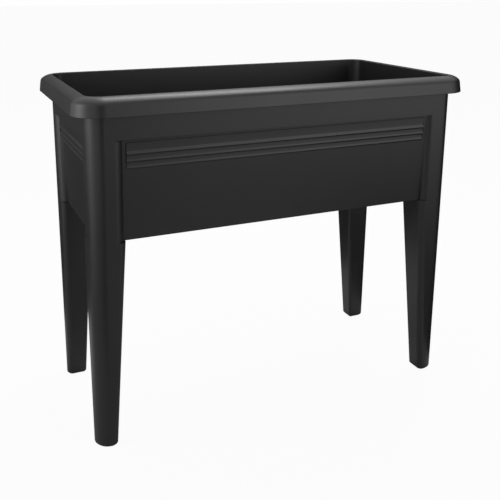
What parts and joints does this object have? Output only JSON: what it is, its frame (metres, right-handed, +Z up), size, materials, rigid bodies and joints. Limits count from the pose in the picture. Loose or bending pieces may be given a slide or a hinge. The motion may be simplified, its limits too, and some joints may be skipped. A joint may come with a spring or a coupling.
{
  "type": "planter table",
  "caption": "Raised rectangular plastic planter: a deep tub with a rolled rim and louvred walls on tapered push-in legs, with push-in drain plugs in its floor.",
  "frame": {"origin": "on the floor, under the middle of the tub", "axes": "+X along the length, to the right seen from the front; -Y to the front; +Z up"},
  "size_m": [0.776, 0.412, 0.65],
  "materials": {
    "tub_plastic": "satin black moulded polypropylene with a fine grain",
    "leg_plastic": "satin black moulded polypropylene with a fine grain",
    "plug_plastic": "matt black soft polyethylene"
  },
  "bodies": {
    "planter": {"tub": "tub_plastic", "leg_front_left": "leg_plastic", "leg_front_right": "leg_plastic", "leg_back_left": "leg_plastic", "leg_back_right": "leg_plastic"},
    "left_plug": {"drain_plug_left": "plug_plastic"},
    "right_plug": {"drain_plug_right": "plug_plastic"}
  },
  "joints": [
    {"name": "left_plug_pull", "type": "slide", "parent": "planter", "child": "left_plug", "axis": [0, 0, -1], "range_m": [0, 0.03]},
    {"name": "right_plug_pull", "type": "slide", "parent": "planter", "child": "right_plug", "axis": [0, 0, -1], "range_m": [0, 0.03]}
  ]
}
